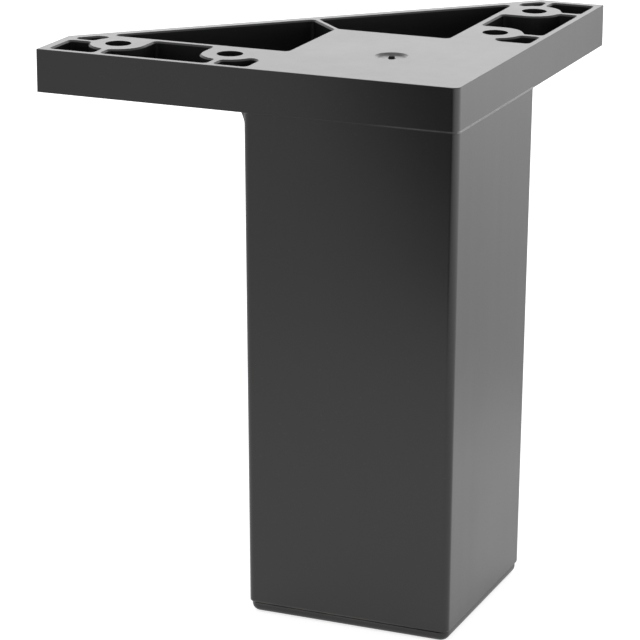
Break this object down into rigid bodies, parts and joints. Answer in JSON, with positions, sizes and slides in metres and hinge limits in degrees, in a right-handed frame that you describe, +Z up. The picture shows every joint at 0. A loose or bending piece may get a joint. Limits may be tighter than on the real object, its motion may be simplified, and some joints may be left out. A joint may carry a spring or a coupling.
{
  "type": "furniture leg",
  "caption": "Square moulded furniture leg with a three-cornered ribbed mounting plate, screw holes along both arms and a pressed-in foot plate.",
  "frame": {"origin": "middle of the foot plate's lower face, on the floor, on the column's axis", "axes": "+Z up along the column, -X along one arm of the plate and +Y along the other, so the plate's outer corner is towards +X and -Y"},
  "size_m": [0.1188, 0.1188, 0.15],
  "materials": {
    "leg_plastic": "satin black moulded plastic",
    "foot_plastic": "satin black moulded plastic"
  },
  "bodies": {
    "root": {"leg_body": "leg_plastic", "foot_plate": "foot_plastic"}
  },
  "joints": []
}
